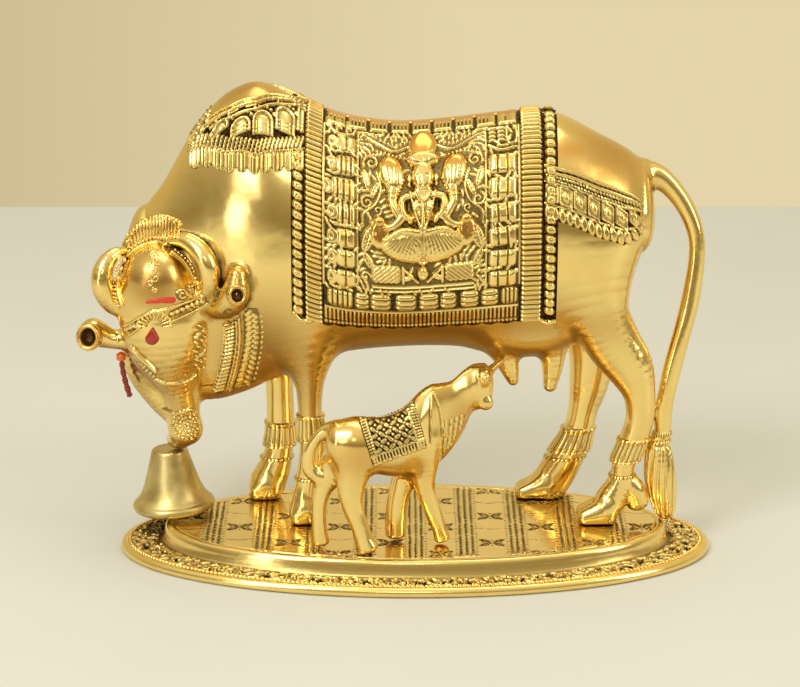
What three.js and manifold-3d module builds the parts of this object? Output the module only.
// Cow and calf statue. A cast cow stands on a stepped oval base and lets her calf drink,
// and her muzzle rests on a small bell. Millimetres, +Z up. The cow stands along X with her
// tail at +X, and she turns her head towards -Y, the near side, where the calf stands.
import * as THREE from 'three';
import * as BufferGeometryUtils from 'three/addons/utils/BufferGeometryUtils.js';
import Module from 'manifold-3d';

const wasm = await Module();
wasm.setup();

// Driving dimensions
const GAP = 0.3;
const SHORT_EDGE = 0.5;
const BASE = {
  length: 200, depth: 103, plateLength: 169, plateDepth: 80, top: 9, facets: 48,
  bandOuterLength: 191, bandOuterDepth: 95.5, bandEdge: 3.1,
  stepFoot: 4.4, rimHeight: 3.4, leafRise: 1.1,
};
const FOOT_LEVEL = BASE.top + GAP;
const BELL = { height: 21.6, topRadius: 6.3, lipRadius: 14, wall: 1.3, tilt: 3.5, x: -82.6, y: 11.5 };
const THREAD = { beadRadius: 1.7, strandRadius: 1.05, drop: 13.6, sway: 2.7 };
const CLOTH = {
  front: -39, back: 46, foot: 79, panelFoot: 60.5, plain: 0.6, border: 1.2, high: 1.9,
  panel: [-19.6, 24], ribs: 12, footRibs: 3, footBlocks: 8,
  figure: { x: 2.2, crown: 13.5, face: 22.4, chest: 33.4, lap: 42.6, lotus: 49, throne: 55.2 },
};
const CALF = { cloth: [-17.5, 3.4], foldTop: 15, neckFolds: 4 };

const point = (x, y, z) => new THREE.Vector3(x, y, z);
const lerp = THREE.MathUtils.lerp;
const radians = THREE.MathUtils.degToRad;

// A smooth curve through table rows, read at a place given in the rows' first column.
function readRow(rows, place) {
  let i = 0;
  while (i < rows.length - 2 && place > rows[i + 1][0]) i += 1;
  const a = rows[i];
  const b = rows[i + 1];
  const before = rows[Math.max(i - 1, 0)];
  const after = rows[Math.min(i + 2, rows.length - 1)];
  const span = b[0] - a[0];
  const t = THREE.MathUtils.clamp((place - a[0]) / span, 0, 1);
  return a.map((value, column) => {
    const startSlope = (b[column] - before[column]) / (b[0] - before[0]);
    const endSlope = (after[column] - value) / (after[0] - a[0]);
    const h1 = 2 * t ** 3 - 3 * t ** 2 + 1;
    const h2 = t ** 3 - 2 * t ** 2 + t;
    const h3 = 3 * t ** 2 - 2 * t ** 3;
    const h4 = t ** 3 - t ** 2;
    return h1 * value + h2 * span * startSlope + h3 * b[column] + h4 * span * endSlope;
  });
}

// A signed distance to an ellipsoid-like surface, close to true near the surface.
function ellipseDistance(offsets, sizes) {
  let k0 = 0;
  let k1 = 0;
  offsets.forEach((offset, i) => {
    k0 += (offset / sizes[i]) ** 2;
    k1 += (offset / sizes[i] ** 2) ** 2;
  });
  if (k1 < 1e-12) return -Math.min(...sizes);
  return Math.sqrt(k0) * (Math.sqrt(k0) - 1) / Math.sqrt(k1);
}

// A body along X. Rows: x, y and z of the middle line, half width, rise above it, drop below it.
class Barrel {
  constructor(rows, { frontCap = 8, backCap = 8 } = {}) {
    Object.assign(this, { rows, frontCap, backCap });
    this.first = rows[0][0];
    this.last = rows[rows.length - 1][0];
  }

  distance(p) {
    const x = THREE.MathUtils.clamp(p.x, this.first, this.last);
    const [, y, z, half, rise, drop] = readRow(this.rows, x);
    const cap = p.x < x ? this.frontCap : this.backCap;
    return ellipseDistance([p.y - y, p.z - z, p.x - x], [half, p.z > z ? rise : drop, cap]);
  }

  rings() {
    const { first, last, frontCap, backCap } = this;
    const places = [
      first - frontCap * 0.87, first - frontCap * 0.5, ...this.rows.map(([x]) => x),
      last + backCap * 0.5, last + backCap * 0.87,
    ];
    return places.map((x) => {
      const [, y, z] = readRow(this.rows, THREE.MathUtils.clamp(x, this.first, this.last));
      return { centre: point(x, y, z), across: point(0, -1, 0), up: point(0, 0, 1) };
    });
  }

  tips() {
    const [, y1, z1] = this.rows[0];
    const [, y2, z2] = this.rows[this.rows.length - 1];
    return [point(this.first - this.frontCap, y1, z1), point(this.last + this.backCap, y2, z2)];
  }
}

// A round or oval limb along a curve. Rows: x, y, z, half size across, half size the other way.
class Limb {
  constructor(rows, { across = point(0, 1, 0), startCap = 1, endCap = 1, steps = 4 } = {}) {
    Object.assign(this, { startCap, endCap });
    let reach = 0;
    const marked = rows.map((row, i) => {
      if (i > 0) reach += Math.hypot(...[0, 1, 2].map((c) => row[c] - rows[i - 1][c]));
      return [reach, ...row];
    });
    const count = (rows.length - 1) * steps;
    this.stations = [];
    for (let i = 0; i <= count; i += 1) {
      const whole = Math.floor(i / steps);
      const part = (i % steps) / steps;
      const from = marked[whole][0];
      const to = marked[Math.min(whole + 1, rows.length - 1)][0];
      const [, x, y, z, half, deep] = readRow(marked, lerp(from, to, part));
      this.stations.push({ centre: point(x, y, z), half, deep });
    }
    this.stations.forEach((station, i, all) => {
      const next = all[Math.min(i + 1, count)].centre;
      const previous = all[Math.max(i - 1, 0)].centre;
      station.along = next.clone().sub(previous).normalize();
      const lean = across.dot(station.along);
      station.across = across.clone().addScaledVector(station.along, -lean).normalize();
      station.up = station.along.clone().cross(station.across);
    });
  }

  distance(p) {
    let best = Infinity;
    for (let i = 0; i < this.stations.length - 1; i += 1) {
      const a = this.stations[i];
      const b = this.stations[i + 1];
      const run = b.centre.clone().sub(a.centre);
      const t = THREE.MathUtils.clamp(p.clone().sub(a.centre).dot(run) / run.lengthSq(), 0, 1);
      const offset = p.clone().sub(a.centre).addScaledVector(run, -t);
      const half = lerp(a.half, b.half, t);
      const deep = lerp(a.deep, b.deep, t);
      let cap = Math.min(half, deep);
      if (i === 0 && t === 0) cap *= this.startCap;
      if (i === this.stations.length - 2 && t === 1) cap *= this.endCap;
      const across = a.across.clone().lerp(b.across, t);
      const up = a.up.clone().lerp(b.up, t);
      const along = a.along.clone().lerp(b.along, t);
      const offsets = [offset.dot(across), offset.dot(up), offset.dot(along)];
      best = Math.min(best, ellipseDistance(offsets, [half, deep, cap]));
    }
    return best;
  }

  rings(count) {
    const last = this.stations.length - 1;
    const rings = [];
    for (let i = 0; i < count; i += 1) {
      rings.push({ ...this.stations[Math.round(i * last / (count - 1))] });
    }
    const [start, end] = this.tips();
    const early = rings[0].centre.clone().lerp(start, 0.7);
    const late = rings[count - 1].centre.clone().lerp(end, 0.7);
    return [{ ...rings[0], centre: early }, ...rings, { ...rings[count - 1], centre: late }];
  }

  tips() {
    const a = this.stations[0];
    const b = this.stations[this.stations.length - 1];
    return [
      a.centre.clone().addScaledVector(a.along, -Math.min(a.half, a.deep) * this.startCap),
      b.centre.clone().addScaledVector(b.along, Math.min(b.half, b.deep) * this.endCap),
    ];
  }
}

// An ellipsoid with its half sizes, turned by angles about X, Y and Z in degrees.
class Ball {
  constructor(centre, sizes, turn = [0, 0, 0]) {
    this.centre = point(...centre);
    this.sizes = sizes;
    this.turn = new THREE.Matrix4().makeRotationFromEuler(new THREE.Euler(...turn.map(radians)));
    this.back = this.turn.clone().transpose();
  }

  distance(p) {
    const q = p.clone().sub(this.centre).applyMatrix4(this.back);
    return ellipseDistance([q.x, q.y, q.z], this.sizes);
  }

  rings(count) {
    const across = point(1, 0, 0).applyMatrix4(this.turn);
    const up = point(0, 1, 0).applyMatrix4(this.turn);
    const axis = point(0, 0, 1).applyMatrix4(this.turn);
    const rings = [];
    for (let i = 1; i <= count; i += 1) {
      const height = -Math.cos(Math.PI * i / (count + 1)) * this.sizes[2];
      rings.push({ centre: this.centre.clone().addScaledVector(axis, height), across, up });
    }
    return rings;
  }

  tips() {
    const axis = point(0, 0, 1).applyMatrix4(this.turn);
    return [-1, 1].map((side) => this.centre.clone().addScaledVector(axis, side * this.sizes[2]));
  }
}

// A form is a list of shapes that melt into one another over their blend width.
class Form {
  constructor(parts) {
    this.parts = parts;
  }

  distance(p) {
    let total = Infinity;
    for (const { shape, blend = 0, hollow = false } of this.parts) {
      const other = hollow ? -shape.distance(p) : shape.distance(p);
      const h = total === Infinity ? 0 : Math.max(blend - Math.abs(total - other), 0) / (blend || 1);
      const melt = h * h * blend / 4;
      total = hollow ? Math.max(total, other) + melt : Math.min(total, other) - melt;
    }
    return total;
  }

  normal(p) {
    const step = 0.05;
    const axes = [point(step, 0, 0), point(0, step, 0), point(0, 0, step)];
    const slopes = axes.map((axis) => this.distance(p.clone().add(axis))
      - this.distance(p.clone().sub(axis)));
    return point(...slopes).normalize();
  }

  // The distance from a start inside the form to its surface, looking no farther than a limit.
  reach(start, direction, near, limit) {
    const at = (length) => this.distance(start.clone().addScaledVector(direction, length));
    let inside = near;
    let outside = near;
    if (at(near) > 0) {
      inside = 0;
    } else {
      while (at(outside) <= 0) {
        inside = outside;
        outside += 0.6;
        if (outside > limit) return near - 0.7;
      }
    }
    for (let i = 0; i < 12; i += 1) {
      const middle = (inside + outside) / 2;
      if (at(middle) > 0) outside = middle;
      else inside = middle;
    }
    return inside;
  }
}

// Closed skin from rings of points with a tip point at each end.
function skin(rings, startTip, endTip) {
  const around = rings[0].length;
  const positions = [startTip, ...rings.flat(), endTip].flatMap((p) => [p.x, p.y, p.z]);
  const faces = [];
  const at = (ring, i) => 1 + ring * around + (i % around);
  const last = rings.length - 1;
  for (let i = 0; i < around; i += 1) {
    faces.push(0, at(0, i + 1), at(0, i));
    faces.push(1 + rings.length * around, at(last, i), at(last, i + 1));
    for (let ring = 0; ring < last; ring += 1) {
      faces.push(at(ring, i), at(ring, i + 1), at(ring + 1, i + 1));
      faces.push(at(ring, i), at(ring + 1, i + 1), at(ring + 1, i));
    }
  }
  const geometry = new THREE.BufferGeometry();
  geometry.setAttribute('position', new THREE.Float32BufferAttribute(positions, 3));
  geometry.setIndex(faces);
  return geometry;
}

// The skin of one shape of a form, with the fillets that the form has around it.
function wrap(form, shape, ringCount, around, reach = 3) {
  const rings = shape.rings(ringCount).map((ring) => {
    const points = [];
    for (let i = 0; i < around; i += 1) {
      const angle = 2 * Math.PI * i / around;
      const direction = ring.across.clone().multiplyScalar(Math.cos(angle))
        .addScaledVector(ring.up, Math.sin(angle));
      const own = new Form([{ shape }]).reach(ring.centre, direction, 0.02, 90);
      const length = form.reach(ring.centre, direction, own * 0.995, own + reach);
      points.push(ring.centre.clone().addScaledVector(direction, length));
    }
    return points;
  });
  return outwards(skin(rings, ...shape.tips()));
}

// Turns a closed geometry's faces outwards where its signed volume is negative.
function outwards(geometry) {
  const place = geometry.attributes.position;
  const index = geometry.index.array;
  let volume = 0;
  const corner = (i) => point().fromBufferAttribute(place, i);
  for (let i = 0; i < index.length; i += 3) {
    const [a, b, c] = [corner(index[i]), corner(index[i + 1]), corner(index[i + 2])];
    volume += a.dot(b.cross(c));
  }
  if (volume < 0) {
    for (let i = 0; i < index.length; i += 3) [index[i], index[i + 1]] = [index[i + 1], index[i]];
  }
  return geometry;
}

// Joins and cuts
function solid(geometry) {
  const bare = geometry.clone();
  bare.deleteAttribute('normal');
  bare.deleteAttribute('uv');
  const merged = BufferGeometryUtils.mergeVertices(bare, 1e-5);
  const mesh = new wasm.Mesh({
    numProp: 3,
    vertProperties: new Float32Array(merged.attributes.position.array),
    triVerts: new Uint32Array(merged.index.array),
  });
  return new wasm.Manifold(mesh);
}

function join(solids) {
  return solids.reduce((whole, piece) => whole.add(piece));
}

function geometryOf(manifold) {
  const mesh = manifold.getMesh();
  const geometry = new THREE.BufferGeometry();
  geometry.setAttribute('position', new THREE.BufferAttribute(mesh.vertProperties, 3));
  geometry.setIndex(new THREE.BufferAttribute(mesh.triVerts, 1));
  geometry.computeVertexNormals();
  return geometry;
}

// Draws one end of an edge onto the other wherever that keeps the skin closed and hardly turns
// a face: joins leave many such edges. A short edge may turn faces more than a long one.
function withoutSlivers(manifold, shortEdge) {
  const { vertProperties, triVerts } = manifold.getMesh();
  const corners = [];
  for (let i = 0; i < vertProperties.length; i += 3) {
    corners.push(point(...vertProperties.subarray(i, i + 3)));
  }
  const faces = [];
  for (let i = 0; i < triVerts.length; i += 3) faces.push([...triVerts.subarray(i, i + 3)]);
  const fans = corners.map(() => new Set());
  faces.forEach((face, f) => face.forEach((corner) => fans[corner].add(f)));
  const facing = ([a, b, c]) => corners[b].clone().sub(corners[a])
    .cross(corners[c].clone().sub(corners[a]));
  const neighbours = (corner) => new Set([...fans[corner]].flatMap((f) => faces[f]));
  const draw = (gone, kept) => {
    const near = neighbours(gone);
    if (!near.has(kept)) return false;
    const both = [...neighbours(kept)].filter((corner) => near.has(corner));
    if (both.length !== 4) return false;
    const least = corners[gone].distanceTo(corners[kept]) < shortEdge ? 0.7 : 0.9998;
    const moved = [...fans[gone]].filter((f) => !faces[f].includes(kept));
    const next = moved.map((f) => faces[f].map((corner) => (corner === gone ? kept : corner)));
    const turns = next.some((face, i) => {
      const [before, after] = [facing(faces[moved[i]]), facing(face)];
      if (after.length() < 1e-4) return true;
      return before.length() > 1e-3 && before.normalize().dot(after.normalize()) < least;
    });
    if (turns) return false;
    for (const f of fans[gone]) for (const corner of faces[f]) fans[corner].delete(f);
    moved.forEach((f, i) => {
      faces[f] = next[i];
      for (const corner of next[i]) fans[corner].add(f);
    });
    fans[gone].clear();
    return true;
  };
  for (let round = 0; round < 3; round += 1) {
    const edges = faces.flatMap(([a, b, c], f) => (fans[a].has(f) ? [[a, b], [b, c], [c, a]] : []));
    const lengths = new Map(edges.map((edge) => [edge, corners[edge[0]].distanceTo(corners[edge[1]])]));
    edges.sort((one, other) => lengths.get(one) - lengths.get(other));
    for (const [a, b] of edges) if (!draw(a, b)) draw(b, a);
  }
  const kept = faces.filter(([a], f) => fans[a].has(f));
  return new wasm.Manifold(new wasm.Mesh({
    numProp: 3,
    vertProperties: new Float32Array(corners.flatMap((corner) => corner.toArray())),
    triVerts: new Uint32Array(kept.flat()),
  }));
}

// Everything below the soles is cut away, so that feet stand flat.
function cutSoles(manifold) {
  const block = new THREE.BoxGeometry(400, 300, 60);
  block.translate(0, 0, FOOT_LEVEL - 30);
  return manifold.subtract(solid(block));
}

// Cow
const cowTrunk = new Barrel([
  [-90, 13, 92, 11.5, 24.5, 22],
  [-84, 13, 93, 13.5, 31.5, 30],
  [-76, 13, 95, 16, 43.5, 36],
  [-68, 13, 97, 19, 52.5, 38],
  [-60, 13, 99, 22, 57, 38],
  [-51, 13, 101, 24.5, 57.2, 39],
  [-41.5, 13, 102, 26, 52, 39],
  [-32, 13, 103, 26.8, 46, 39],
  [-21, 13, 104, 27.2, 41.5, 37.5],
  [-5, 13, 105, 27.5, 38.7, 37],
  [11.5, 13, 105.5, 27.5, 39.3, 37.3],
  [28, 13, 106, 27.2, 40.8, 39.5],
  [41, 13, 107, 26.5, 41.2, 40],
  [49, 13, 107, 25.8, 40, 37],
  [61, 13, 107, 23.5, 33.8, 27],
  [70, 13, 108, 19.5, 28, 15],
  [75.5, 13, 111, 14.5, 21, 8.5],
], { frontCap: 8, backCap: 4.5 });

const cowParts = [
  { shape: cowTrunk, around: 20, reach: 0.9 },
  {
    name: 'dewlap', blend: 9, rings: 5, around: 8,
    shape: new Limb([
      [-80, 11, 71, 8, 15], [-72, 10.5, 67, 9.5, 17.5], [-64, 11, 68, 11, 17.2],
      [-56, 12, 70, 13, 15.8], [-48, 13, 71, 15, 13],
    ]),
  },
  {
    name: 'near fore leg', blend: 8, rings: 7, around: 8,
    shape: new Limb([
      [-42, 1, 100, 9, 17], [-38, 0, 82, 8.5, 11.5], [-35.6, 0, 68, 6.8, 7.4],
      [-35.5, 0, 58, 5.2, 4.9], [-35.4, 0, 48, 4.6, 4], [-34.6, 0, 38, 4.7, 4.4],
      [-35, 0, 30, 4.6, 4.4], [-36, 0, 22, 4.8, 4.8], [-37, -0.5, 15, 5.2, 5.6],
    ]),
  },
  {
    name: 'far fore leg', blend: 8, rings: 6, around: 8,
    shape: new Limb([
      [-48, 25, 98, 9, 14], [-47, 26, 80, 8, 9.5], [-46.8, 27, 64, 6.2, 6.4],
      [-46.6, 27, 50, 5.2, 4.9], [-46.4, 27, 38, 5, 4.8], [-46.8, 27, 28, 5, 4.8],
      [-48.4, 26.5, 20.5, 5.2, 5.6], [-51, 26, 14.5, 5.4, 6.4],
    ]),
  },
  {
    name: 'near hind leg', blend: 8, rings: 9, around: 8,
    shape: new Limb([
      [57, 6, 113, 13, 18.5], [58.5, 1.5, 97, 11, 14.5], [61, 0, 83, 9, 10.4],
      [66, 0, 72.5, 7, 9.4], [72, 0, 63.5, 5.8, 8], [75.2, 0, 55, 5, 5.6],
      [75.8, 0, 46, 4.8, 4.8], [73.6, 0, 38, 4.7, 4.7], [70.9, 0, 31, 4.2, 4],
      [69.6, 0, 24, 4.4, 3.9], [66.6, 0, 17, 5.2, 5.4],
    ]),
  },
  {
    name: 'far hind leg', blend: 8, rings: 7, around: 8,
    shape: new Limb([
      [56, 21, 110, 12, 18], [57, 25, 93, 10, 13.5], [59.5, 27, 77, 8.5, 10.4],
      [61, 27, 62, 7, 8.3], [60, 27, 50, 6, 6.8], [58.2, 27, 41, 5.2, 5.2],
      [56.5, 27, 33, 5.2, 5.2], [53.5, 27, 25.5, 5.4, 6], [49.5, 27, 18, 5.6, 6.6],
      [46.5, 27, 13, 5.6, 6.6],
    ]),
  },
  {
    name: 'udder', blend: 7, rings: 4, around: 8,
    shape: new Ball([37, 9, 75], [17, 13, 8.6]),
  },
  {
    name: 'fore teat', blend: 3, rings: 3, around: 6,
    shape: new Limb([[29.8, 5, 68, 4.6, 4.8], [31.8, 4, 62, 3.2, 3.2], [33, 4, 58, 2, 2]]),
  },
  {
    name: 'hind teat', blend: 3, rings: 3, around: 6,
    shape: new Limb([[46.5, 6, 68, 4.6, 4.6], [46.2, 6, 61, 3.4, 3.4], [45.6, 6, 55.6, 2.4, 2.4]]),
  },
  {
    name: 'far fore teat', blend: 3, rings: 2, around: 5,
    shape: new Limb([[32.6, 17, 68, 4, 4], [33, 17, 61, 2, 2]]),
  },
  {
    name: 'far hind teat', blend: 3, rings: 2, around: 5,
    shape: new Limb([[47.6, 17, 68, 4, 4], [47.4, 17, 61, 2, 2]]),
  },
  {
    name: 'skull', blend: 7, rings: 4, around: 10,
    shape: new Ball([-85.5, 3, 89], [14.5, 11.5, 16], [0, 12, 0]),
  },
  {
    name: 'forehead', blend: 3, rings: 4, around: 10,
    shape: new Ball([-85.8, -2.5, 94.5], [11, 10.5, 11.5], [0, 12, 0]),
  },
  {
    name: 'face', blend: 4, rings: 6, around: 10,
    shape: new Limb([
      [-84.6, 0.5, 88, 14.5, 10.5], [-84, -1.5, 80.4, 14.6, 10.5], [-83.3, -1, 72, 12.6, 9.5],
      [-81.8, 1, 64.3, 9, 8.2], [-79.6, 3, 56.4, 6.2, 6.8], [-78.4, 5, 48.7, 5.6, 6],
      [-77.8, 6.5, 42.5, 5, 5.4],
    ], { across: point(1, 0, 0) }),
  },
  {
    name: 'jaw', blend: 4, rings: 4, around: 8,
    shape: new Limb([
      [-89.5, 9, 71, 10, 8.5], [-90, 11, 62, 8.7, 8], [-88, 12, 55.5, 7.4, 7],
      [-84.5, 11.5, 48.8, 5.8, 5.8], [-80.8, 10, 43.5, 4, 4.4],
    ], { across: point(1, 0, 0) }),
  },
  {
    name: 'muzzle', blend: 1.5, rings: 3, around: 8,
    shape: new Ball([-77.8, 6.2, 40.2], [6, 6, 6]),
  },
  {
    name: 'lip', blend: 2, rings: 2, around: 6,
    shape: new Ball([-80.2, 9, 35.6], [4.4, 4.2, 3.4]),
  },
  {
    name: 'left horn', blend: 1.5, rings: 6, around: 6,
    shape: new Limb([
      [-96, 1, 83.5, 2.8, 2.8], [-100.6, -1, 85.4, 3.1, 3.1], [-103.6, -2.2, 90.8, 3.7, 3.7],
      [-104, -2, 96.2, 3.5, 3.5], [-102.2, -0.5, 100.6, 2.8, 2.8], [-99.4, 1.2, 102.8, 2, 2],
      [-96.8, 2.6, 103, 1.2, 1.2],
    ]),
  },
  {
    name: 'right horn', blend: 1.5, rings: 6, around: 6,
    shape: new Limb([
      [-70.8, -5, 87.6, 2.9, 2.9], [-68, -8.6, 94.8, 3.3, 3.3], [-68.4, -9, 100.8, 3.7, 3.7],
      [-71.2, -7.5, 105.6, 3.5, 3.5], [-75.2, -5, 108.2, 2.9, 2.9],
      [-79.2, -3, 108.5, 2.2, 2.2], [-82.5, -1.4, 107.8, 1.3, 1.3],
    ]),
  },
  {
    name: 'crest', blend: 1, rings: 5, around: 4,
    shape: new Limb([
      [-95.8, 6.4, 103.4, 2, 2.6], [-92.4, 5.2, 107, 2, 3.6], [-89, 4.2, 109.2, 2, 4.2],
      [-85, 3.6, 109.8, 2, 4.4], [-81, 3, 109.2, 2, 4.2], [-77, 2.6, 108, 2, 4],
    ], { steps: 2 }),
  },
  {
    name: 'left ear', blend: 2, rings: 3, around: 7,
    shape: new Limb([[-96, 4, 72, 3.8, 3.6], [-102, 4, 72.4, 3.5, 3.4], [-108, 4, 74.6, 5, 4.8]]),
  },
  {
    name: 'right ear', blend: 2, rings: 4, around: 7,
    shape: new Limb([
      [-67, -4, 86, 3.4, 3.6], [-62.5, -9, 88, 4.2, 4.4], [-59.3, -11.5, 92.5, 4.6, 4.8],
      [-58.6, -11.5, 98.5, 3, 3.2],
    ]),
  },
  {
    name: 'tail', blend: 3, rings: 10, around: 6,
    shape: new Limb([
      [71, 13, 125, 4.4, 5.2], [79, 12.5, 127.2, 3.3, 4.1], [86.6, 12, 121.4, 2.8, 3.3],
      [92.6, 11, 111.4, 2.7, 2.9], [94.5, 10, 101.5, 2.7, 2.7], [92.5, 8, 84.7, 3, 3.1],
      [89.5, 6, 72.7, 3, 3], [86.8, 5, 62, 3, 3.1], [84.4, 4, 50, 2.8, 2.9],
      [83.6, 4, 38, 2.7, 2.8],
    ]),
  },
  {
    name: 'tail tuft', blend: 1, rings: 4, around: 8,
    shape: new Limb([
      [82.2, 3.5, 35, 3.8, 3.8], [82.9, 3.5, 28, 4.6, 4.6], [83.8, 3.5, 20, 4.8, 4.6],
      [85, 3.5, 13, 3.8, 3.4], [85.8, 3.5, 9, 2.6, 2.2],
    ]),
  },
  {
    name: 'near hind hoof', blend: 2.5, rings: 2, around: 6,
    shape: new Limb([[58, -2.8, 11.4, 3.1, 3.2], [65, -2.8, 13, 3.4, 5]]),
  },
  {
    name: 'near hind hoof, far claw', blend: 2.5, rings: 2, around: 6,
    shape: new Limb([[58, 2.8, 11.4, 3.1, 3.2], [65, 2.8, 13, 3.4, 5]]),
  },
  {
    name: 'near hind dewclaws', blend: 1, rings: 3, around: 6,
    shape: new Limb([[69.5, 0, 25, 3, 3.4], [74, 0, 20.5, 3.3, 4], [75.6, 0, 15.8, 2.9, 3.8]]),
  },
  {
    name: 'far hind hoof', blend: 2.5, rings: 2, around: 6,
    shape: new Limb([[37.8, 24.4, 11, 3, 3], [45, 24.4, 12.6, 3.2, 4.8]]),
  },
  {
    name: 'far hind hoof, far claw', blend: 2.5, rings: 2, around: 6,
    shape: new Limb([[37.8, 29.6, 11, 3, 3], [45, 29.6, 12.6, 3.2, 4.8]]),
  },
  {
    name: 'near fore hoof', blend: 2.5, rings: 2, around: 6,
    shape: new Limb([[-39.5, -3, 11.5, 3, 3.2], [-35.5, -3, 13, 3.1, 4.6]]),
  },
  {
    name: 'near fore hoof, far claw', blend: 2.5, rings: 2, around: 6,
    shape: new Limb([[-39.5, 2.4, 11.5, 3, 3.2], [-35.5, 2.4, 13, 3.1, 4.6]]),
  },
  {
    name: 'far fore hoof', blend: 2.5, rings: 2, around: 6,
    shape: new Limb([[-54.6, 23.4, 11.5, 3, 3.2], [-50, 23.4, 13, 3.1, 4.6]]),
  },
  {
    name: 'far fore hoof, far claw', blend: 2.5, rings: 2, around: 6,
    shape: new Limb([[-54.6, 28.8, 11.5, 3, 3.2], [-50, 28.8, 13, 3.1, 4.6]]),
  },
];
const cowForm = new Form(cowParts);

// Calf
const calfParts = [
  {
    around: 12,
    shape: new Barrel([
      [-25, -31, 47.5, 6.3, 7, 7.5], [-20, -30.5, 47, 7.8, 8.6, 9], [-12, -29, 46.2, 8.2, 8.7, 10.6],
      [-5, -27, 46.8, 8.1, 9.8, 12.5], [1, -24.8, 49.5, 7.6, 12.6, 13.5],
      [5, -22.6, 51, 6.4, 13.2, 14], [8, -20.4, 51.4, 5.3, 12.6, 14.5],
      [12, -16.5, 53, 4.6, 10.8, 13], [16, -12.5, 56, 4.6, 10.1, 11],
      [19, -10, 59, 4.9, 8.4, 8.2], [22.5, -8, 59.6, 5, 7.7, 8],
    ], { frontCap: 4.5, backCap: 3.6 }),
  },
  {
    name: 'near hind leg', blend: 4, rings: 6, around: 7,
    shape: new Limb([
      [-20.6, -32.5, 46, 4.6, 6.4], [-20.4, -33.2, 38, 4.2, 5.4], [-21.2, -33.6, 31, 3.4, 4.4],
      [-20.6, -33.8, 25.5, 2.8, 3.5], [-18.8, -34, 20, 2.7, 3], [-17, -34, 14.5, 2.9, 3.2],
      [-15.9, -34, 11.4, 3.1, 3.8],
    ], { endCap: 0.6 }),
  },
  {
    name: 'far hind leg', blend: 4, rings: 5, around: 6,
    shape: new Limb([
      [-23, -27.5, 44, 4, 6], [-26.5, -27.6, 37, 3.6, 5.4], [-30.2, -27.8, 30.5, 2.6, 3.2],
      [-31.8, -28, 24, 2.1, 2.4], [-31.8, -28, 16, 2.1, 2.5], [-31.4, -28, 11.4, 2.3, 3],
    ], { endCap: 0.6 }),
  },
  {
    name: 'near fore leg', blend: 4, rings: 5, around: 7,
    shape: new Limb([
      [2, -25.5, 46, 4, 6], [2.6, -25, 37, 3.4, 4.6], [3.2, -24.2, 29, 2.8, 3.3],
      [5.6, -23.6, 21, 2.5, 2.8], [8, -23, 14.2, 2.3, 2.4], [8.9, -22.6, 11, 2.4, 2.7],
    ], { endCap: 0.6 }),
  },
  {
    name: 'far fore leg', blend: 4, rings: 5, around: 6,
    shape: new Limb([
      [0, -21, 42, 4, 5.5], [-3, -20.4, 33.5, 3.2, 4.4], [-5.4, -20, 25.5, 2.7, 3.6],
      [-6.6, -19.8, 17, 2.6, 3.5], [-6.6, -19.6, 11.2, 2.6, 3.4],
    ], { endCap: 0.6 }),
  },
  {
    name: 'tail', blend: 1.5, rings: 6, around: 5,
    shape: new Limb([
      [-23, -30.5, 52, 2.2, 2.2], [-28.5, -29.6, 51.4, 1.9, 2], [-33, -28.8, 47, 1.8, 1.9],
      [-35.2, -28.4, 41.4, 1.9, 2.1], [-34.6, -28, 36.6, 2.2, 2.6], [-31.6, -27.8, 33.6, 2.4, 2.6],
    ]),
  },
  {
    name: 'mouth', blend: 1, rings: 3, around: 5,
    shape: new Limb([[23.8, -5.6, 62.8, 2, 1.8], [27, -2.6, 65, 1.3, 1.2], [29, -0.9, 66, 1, 1]]),
  },
  {
    name: 'near ear', blend: 0.8, rings: 2, around: 6,
    shape: new Ball([22.6, -12.1, 63.2], [2.2, 2.2, 3]),
  },
  {
    name: 'far ear', blend: 0.8, rings: 2, around: 6,
    shape: new Ball([21.6, -4.6, 63.2], [2.2, 2.2, 3]),
  },
  {
    name: 'chin', blend: 1, rings: 2, around: 6,
    shape: new Ball([23.4, -11.4, 54.6], [2.6, 1.8, 2.6]),
  },
];
const calfForm = new Form(calfParts);

// Places on the cow's skin
const skinColumns = new Map();
function skinColumn(form, x, side) {
  const trunk = form.parts[0].shape;
  const key = `${trunk.last} ${x.toFixed(2)} ${side}`;
  if (skinColumns.has(key)) return skinColumns.get(key);
  const [, y, z] = readRow(trunk.rows, x);
  const centre = point(x, y, z);
  const bare = new Form([{ shape: trunk }]);
  const column = [];
  let down = 0;
  for (let degrees = 0; degrees <= 150; degrees += 5) {
    const angle = radians(degrees);
    const direction = point(0, side * Math.sin(angle), Math.cos(angle));
    const own = bare.reach(centre, direction, 0.02, 90);
    const length = form.reach(centre, direction, own * 0.995, own + 4);
    const place = centre.clone().addScaledVector(direction, length);
    if (column.length > 0) down += place.distanceTo(column[column.length - 1].place);
    column.push({ down, place });
  }
  skinColumns.set(key, column);
  return column;
}

// A place on a trunk at x, some way down from the ridge: down the near side where the way is
// above zero, and down the far side where it is below.
function onTrunk(form, x, way) {
  const column = skinColumn(form, x, way < 0 ? 1 : -1);
  const down = Math.abs(way);
  let i = 1;
  while (i < column.length - 1 && column[i].down < down) i += 1;
  const share = (down - column[i - 1].down) / (column[i].down - column[i - 1].down);
  const place = column[i - 1].place.clone().lerp(column[i].place, share);
  return { place, normal: form.normal(place) };
}

// A place on the near face of a form, straight behind x and z as seen from the near side.
function onFace(form, x, z, start = -45) {
  const length = new Form([{ shape: { distance: (p) => -form.distance(p) } }])
    .reach(point(x, start, z), point(0, 1, 0), 0, 90);
  const place = point(x, start + length, z);
  return { place, normal: form.normal(place) };
}

const spread = (from, to, cells) => Array.from(
  { length: cells + 1 },
  (unused, i) => lerp(from, to, i / cells),
);

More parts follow.
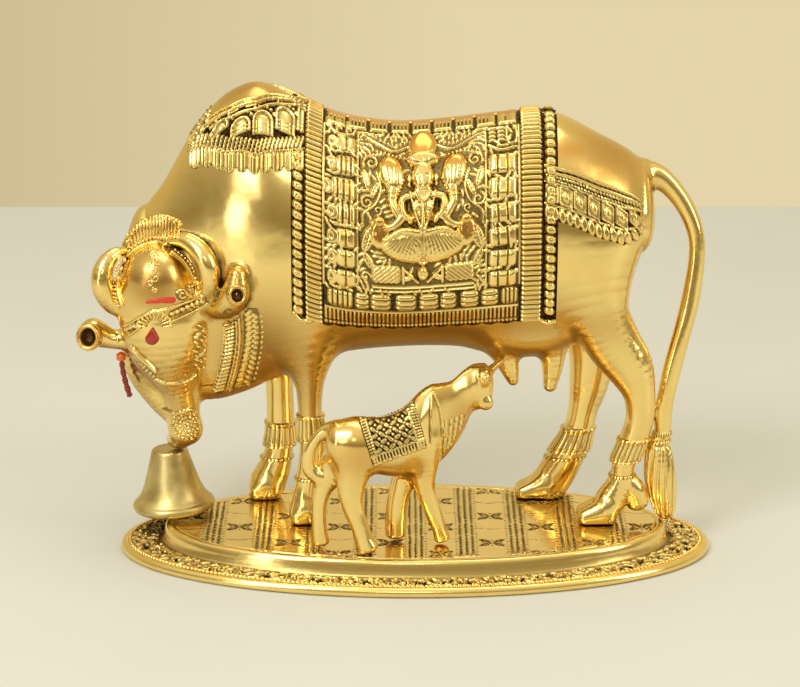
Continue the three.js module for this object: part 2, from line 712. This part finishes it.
// A raised patch over a grid of skin places, closed a little below the skin. The lift is one
// number or a function of the grid's column and row.
function patch(form, xs, ways, lift, sink = 2.6) {
  const liftAt = typeof lift === 'number' ? () => lift : lift;
  const layer = (heightAt) => ways.flatMap((way, row) => xs.map((x, column) => {
    const { place, normal } = onTrunk(form, x, way);
    return place.clone().addScaledVector(normal, heightAt(column, row));
  }));
  const positions = [...layer(liftAt), ...layer(() => -sink)];
  const wide = xs.length;
  const under = wide * ways.length;
  const faces = [];
  const quad = (a, b, c, d) => faces.push(a, b, c, a, c, d);
  for (let row = 0; row < ways.length - 1; row += 1) {
    for (let column = 0; column < wide - 1; column += 1) {
      const a = row * wide + column;
      quad(a, a + wide, a + wide + 1, a + 1);
      quad(under + a, under + a + 1, under + a + wide + 1, under + a + wide);
    }
    const left = row * wide;
    const right = left + wide - 1;
    quad(left, under + left, under + left + wide, left + wide);
    quad(right, right + wide, under + right + wide, under + right);
  }
  for (let column = 0; column < wide - 1; column += 1) {
    const foot = (ways.length - 1) * wide + column;
    quad(column, column + 1, under + column + 1, under + column);
    quad(foot, under + foot, under + foot + 1, foot + 1);
  }
  const geometry = new THREE.BufferGeometry();
  const coordinates = positions.flatMap((p) => [p.x, p.y, p.z]);
  geometry.setAttribute('position', new THREE.Float32BufferAttribute(coordinates, 3));
  geometry.setIndex(faces);
  return solid(outwards(geometry));
}

// A low dome on the skin, with its half sizes along X and Z and a turn in the skin's plane.
function boss({ place, normal }, { across, tall, rise, turn = 0, sides }) {
  const right = point(1, 0, 0).addScaledVector(normal, -normal.x).normalize();
  const up = normal.clone().cross(right).multiplyScalar(-1);
  if (up.z < 0) up.multiplyScalar(-1);
  const ring = (share, height) => Array.from({ length: sides }, (unused, i) => {
    const angle = 2 * Math.PI * i / sides;
    const a = Math.cos(angle) * across * share;
    const b = Math.sin(angle) * tall * share;
    return place.clone().addScaledVector(normal, height)
      .addScaledVector(right, a * Math.cos(turn) - b * Math.sin(turn))
      .addScaledVector(up, a * Math.sin(turn) + b * Math.cos(turn));
  });
  const foot = place.clone().addScaledVector(normal, -2);
  const top = place.clone().addScaledVector(normal, rise);
  return solid(outwards(skin([ring(1, -1.6), ring(0.85, rise * 0.6)], foot, top)));
}

// A raised strap along a route of x and z pairs on the near face of a form.
function strap(form, route, width, lift) {
  const rings = route.map(([x, z], i) => {
    const [x0, z0] = route[Math.max(i - 1, 0)];
    const [x1, z1] = route[Math.min(i + 1, route.length - 1)];
    const length = Math.hypot(x1 - x0, z1 - z0);
    const [dx, dz] = [-(z1 - z0) / length * width / 2, (x1 - x0) / length * width / 2];
    const left = onFace(form, x - dx, z - dz);
    const right = onFace(form, x + dx, z + dz);
    const raise = ({ place, normal }, height) => place.clone().addScaledVector(normal, height);
    return [raise(left, lift), raise(right, lift), raise(right, -1.8), raise(left, -1.8)];
  });
  const middle = (ring) => ring.reduce((sum, p) => sum.add(p), point()).divideScalar(4);
  return solid(outwards(skin(rings, middle(rings[0]), middle(rings[rings.length - 1]))));
}

function castBody(form) {
  const skins = form.parts.map(({ shape, rings, around, blend = 8, reach }) => solid(
    wrap(form, shape, rings, around, reach ?? THREE.MathUtils.clamp(blend / 2, 0.65, 1.5)),
  ));
  return join(skins);
}

// Cow's ornaments
// The saddle cloth: three grids of lifted places, for its near side, its near foot and its far
// side, and the figure. Ribs and blocks are rows of high and low places.
function saddleCloth() {
  const { front, back, foot, panelFoot, plain, border, high, panel, ribs, footRibs } = CLOTH;
  const frontColumns = [front, -37.7, -37.1, -30.5];
  const backColumns = [34.2, 42, 42.7, back];
  const columns = [...frontColumns, -29.8, -20.2, ...spread(...panel, 3), 24.6, 33.6, ...backColumns];
  const footColumns = [...frontColumns, ...spread(-29.6, 33.4, 2 * CLOTH.footBlocks), ...backColumns];
  const isEdge = (x) => x < -37.5 || x > 42.5;
  const isRib = (x) => !isEdge(x) && (x < -30 || x > 34);
  const nearLift = (x, row) => {
    if (isEdge(x)) return border;
    if (isRib(x)) return row % 2 === 1 ? high : plain;
    if (x >= panel[0] && x <= panel[1]) return plain;
    return row % 4 === 0 ? plain : high;
  };
  const footLift = (column, row) => {
    const x = footColumns[column];
    if (isEdge(x) || isRib(x)) return nearLift(x, row);
    return column % 2 === 0 && row !== 4 ? high : plain;
  };
  const far = [front, -30.6, ...spread(-29, 33, 2), 34.2, back];
  const farLift = (column, row) => (column < 2 || column > 4 || row < 2 ? border : plain);
  return [
    patch(cowForm, columns, spread(0, panelFoot, 2 * ribs), (i, row) => nearLift(columns[i], row)),
    patch(cowForm, footColumns, spread(panelFoot - 0.3, foot, 2 * footRibs), footLift),
    patch(cowForm, far, [-foot, 10 - foot, 11 - foot, ...spread(-52, 0.3, 4)], farLift),
    ...seatedGoddess(),
  ];
}

// A seated goddess with a crown, two small attendants, a lotus and a throne, in low domes.
function seatedGoddess() {
  const { x, crown, face, chest, lap, lotus, throne } = CLOTH.figure;
  const domes = [
    [0, face, 4.2, 4.8, 3.8, 0], [0, crown, 4, 6, 3, 0], [0, chest, 6.4, 8, 3.6, 0],
    [0, lap, 11.5, 4.2, 3.4, 0],
  ];
  for (const side of [-1, 1]) {
    domes.push([side * 10.3, face + 1, 4.2, 5.8, 2.8, 0]);
    domes.push([side * 7.4, chest - 2.4, 2.6, 6.6, 2.8, side * 0.75]);
    domes.push([side * 14.4, lap - 4, 3.6, 4.8, 2.6, 0]);
  }
  for (let petal = -2; petal <= 2; petal += 1) {
    domes.push([petal * 4.8, lotus - petal * petal * 0.5, 3, 4.4, 2.5, -petal * 0.22]);
  }
  const bosses = domes.map(([dx, way, across, tall, rise, turn]) => boss(
    onTrunk(cowForm, x + dx, way),
    { across, tall, rise, turn, sides: 5 },
  ));
  return [...bosses, patch(cowForm, spread(x - 15, x + 16, 2), [throne, throne + 4.4], 2)];
}

// Bands over the hump, with a row of arches above a rope and a fringe.
function humpCap() {
  const pieces = [
    strap(cowForm, [[-66, 150.2], [-54, 151.2], [-40, 149.4]], 1.6, 0.8),
    strap(cowForm, [[-71, 142.4], [-62, 141.4], [-50, 141], [-38.5, 142]], 2.8, 0.9),
    strap(cowForm, [[-72.5, 137.8], [-62, 136], [-50, 135.6], [-39.5, 137.4]], 4.4, 1.2),
  ];
  for (let i = 0; i < 4; i += 1) {
    const place = onFace(cowForm, -62 + i * 7.2, 146.2);
    pieces.push(boss(place, { across: 3, tall: 2.4, rise: 1.5, sides: 6 }));
  }
  return pieces;
}

// The band across the rump, with square bosses above a thick lower roll.
function crupper() {
  const band = [[46.5, 126.6], [56, 123.6], [66, 119.6], [74, 116]];
  const roll = [[46.5, 119.8], [56, 117], [66, 113], [75.5, 108.6]];
  const pieces = [strap(cowForm, band, 11, 0.7), strap(cowForm, roll, 2.6, 1.7)];
  for (let i = 0; i < 5; i += 1) {
    const place = onFace(cowForm, 50 + i * 5.6, 125 - i * 2.2);
    pieces.push(boss(place, { across: 2.3, tall: 2.7, rise: 2, sides: 4, turn: 0.6 }));
  }
  return pieces;
}

// The neck rope, the collar, the brow band, the halter and the crest's ribs.
function headDress() {
  const routes = [
    [[[-60.4, 84], [-62.4, 75.5], [-64.2, 66], [-65.4, 57]], 4, 1.2],
    [[[-55.4, 86], [-56.6, 76], [-58, 66], [-59.6, 57.6]], 4.2, 0.8],
    [[[-97, 80.6], [-86, 83.6], [-79, 86], [-73.6, 88]], 3.2, 1],
    [[[-95.6, 76.6], [-88.8, 64.6]], 2, 0.8],
    [[[-71.6, 78], [-74.8, 64]], 2.4, 0.8],
    [[[-94.2, 102.4], [-96.4, 105.4]], 2, 0.8],
    [[[-90.4, 104.4], [-91.8, 111]], 2, 0.8],
    [[[-86, 106], [-86.4, 113.2]], 2, 0.8],
    [[[-81.8, 106.2], [-81, 112.8]], 2, 0.8],
  ];
  return routes.map(([route, width, lift]) => strap(cowForm, route, width, lift));
}

// A ring around a limb between two heights, standing proud of it.
function anklet(name, low, high, lift = 0.9, around = 6) {
  const { stations } = cowParts.find((part) => part.name === name).shape;
  const levels = [[high, -0.5], [lerp(low, high, 0.8), lift], [lerp(low, high, 0.2), lift], [low, -0.5]];
  const rings = levels.map(([z, proud]) => {
    const i = stations.findIndex((station) => station.centre.z < z);
    const [a, b] = [stations[i - 1], stations[i]];
    const t = (a.centre.z - z) / (a.centre.z - b.centre.z);
    const centre = a.centre.clone().lerp(b.centre, t);
    const half = lerp(a.half, b.half, t) + proud;
    const deep = lerp(a.deep, b.deep, t) + proud;
    return Array.from({ length: around }, (unused, turn) => {
      const angle = 2 * Math.PI * turn / around;
      return centre.clone().addScaledVector(a.across, half * Math.cos(angle))
        .addScaledVector(a.up, deep * Math.sin(angle));
    });
  });
  const middle = (ring) => ring.reduce((sum, p) => sum.add(p), point()).divideScalar(around);
  return solid(outwards(skin(rings, middle(rings[0]), middle(rings[3]))));
}

function cow() {
  const dress = [
    ...saddleCloth(), ...humpCap(), ...crupper(), ...headDress(),
    anklet('near fore leg', 39, 45), anklet('far fore leg', 28.6, 36),
    anklet('near hind leg', 32, 38.6), anklet('far hind leg', 27, 34),
    anklet('tail', 38.5, 41.5, 1),
  ];
  return withoutSlivers(cutSoles(join([castBody(cowForm), ...dress])), SHORT_EDGE);
}

function calf() {
  const { cloth, foldTop, neckFolds } = CALF;
  const [front, back] = cloth;
  const dress = [
    patch(calfForm, spread(front, back, 2), spread(-foldTop, foldTop, 6), 0.6),
    patch(calfForm, [back - 2.6, back], spread(1, foldTop + 0.5, 3), 1.1),
    patch(calfForm, spread(front, back, 2), [foldTop - 2.6, foldTop + 0.5], 1.1),
  ];
  for (let i = 0; i < neckFolds; i += 1) {
    const route = [[11.6 + i * 2.4, 51 + i * 1.9], [9.4 + i * 2, 42 + i * 1.8]];
    dress.push(strap(calfForm, route, 1.1, 0.7));
  }
  return withoutSlivers(cutSoles(join([castBody(calfForm), ...dress])), SHORT_EDGE);
}

// Materials
const finish = (color, roughness, metalness = 1) => new THREE.MeshStandardMaterial({
  color, roughness, metalness,
});

const group = new THREE.Group();
function add(name, manifold, material) {
  const mesh = new THREE.Mesh(geometryOf(manifold), material);
  mesh.name = name;
  group.add(mesh);
}

// Base: an oval skin whose rings are given by length, depth and height, with every second
// point of a leafy ring raised
function ovalSkin(levels, around) {
  const rings = levels.map(([length, depth, z, leaf = 0]) => {
    const points = [];
    for (let i = 0; i < around; i += 1) {
      const angle = 2 * Math.PI * i / around;
      const height = i % 2 === 0 ? z + leaf : z;
      points.push(point(length / 2 * Math.cos(angle), depth / 2 * Math.sin(angle), height));
    }
    return points;
  });
  const first = levels[0][2];
  const last = levels[levels.length - 1][2];
  return outwards(skin(rings, point(0, 0, first), point(0, 0, last)));
}

function basePlate() {
  const { length, depth, plateLength, plateDepth, stepFoot, bandEdge, leafRise } = BASE;
  const [bandLength, bandDepth] = [BASE.bandOuterLength, BASE.bandOuterDepth];
  const middle = [(plateLength + bandLength) / 2, (plateDepth + bandDepth) / 2];
  return solid(ovalSkin([
    [length - 2.4, depth - 2.4, 0],
    [length, depth, 1.2],
    [length - 1.2, depth - 1.2, 2.7],
    [length - 4, depth - 3.4, BASE.rimHeight],
    [bandLength, bandDepth, bandEdge],
    [...middle, (bandEdge + stepFoot) / 2 - 0.2, leafRise],
    [plateLength + 2.8, plateDepth + 2.8, stepFoot - 0.4],
    [plateLength + 0.6, plateDepth + 0.6, BASE.top - 1.2],
    [plateLength - 1.6, plateDepth - 1.6, BASE.top],
  ], BASE.facets));
}

function bell() {
  const { height, topRadius, lipRadius, wall } = BELL;
  const sides = [[7.3, 0.78], [8.9, 0.53], [10.4, 0.32], [11.9, 0.2]];
  const outer = [
    [0, height], [topRadius - 0.8, height], [topRadius, height - 1.2],
    ...sides.map(([radius, share]) => [radius, share * height]),
    [lipRadius - 0.4, height * 0.12], [lipRadius, height * 0.05], [lipRadius - 0.6, 0],
  ];
  const inner = [
    [lipRadius - 1.8, 0],
    ...sides.reverse().map(([radius, share]) => [radius - wall, share * height]),
    [0, height - wall],
  ];
  const profile = [...outer, ...inner].reverse().map(([r, z]) => new THREE.Vector2(r, z));
  const geometry = new THREE.LatheGeometry(profile, 18);
  geometry.rotateX(Math.PI / 2);
  geometry.rotateY(radians(-BELL.tilt));
  geometry.translate(BELL.x, BELL.y, FOOT_LEVEL + lipRadius * Math.sin(radians(BELL.tilt)));
  return solid(geometry);
}

// The red strand and its bead hang beside the halter at the cow's left cheek
const beadPlace = onFace(cowForm, -97.4, 66.4);
const bead = new Ball(
  beadPlace.place.clone().addScaledVector(beadPlace.normal, THREAD.beadRadius + GAP).toArray(),
  [THREAD.beadRadius, THREAD.beadRadius, THREAD.beadRadius],
);

function strand() {
  const { beadRadius, strandRadius, drop, sway } = THREAD;
  const { x, y, z } = bead.centre;
  const top = z - beadRadius - GAP - strandRadius;
  const low = z - drop;
  return new Limb([0, 0.33, 0.67, 1].map((share) => [
    x + sway * share ** 1.5, y, lerp(top, low, share), strandRadius, strandRadius,
  ]));
}

const lone = (shape, rings, around) => solid(wrap(new Form([{ shape }]), shape, rings, around));

const gold = finish(0xd8a63c, 0.22);
add('base_plate', basePlate(), gold);
add('cow', cow(), gold);
add('calf', calf(), gold);
add('bell', bell(), finish(0xb59a55, 0.42));
add('thread', lone(strand(), 4, 6), finish(0x8e2a22, 0.8, 0));
add('thread_bead', lone(bead, 3, 7), finish(0xe0701c, 0.5, 0));

export default group;
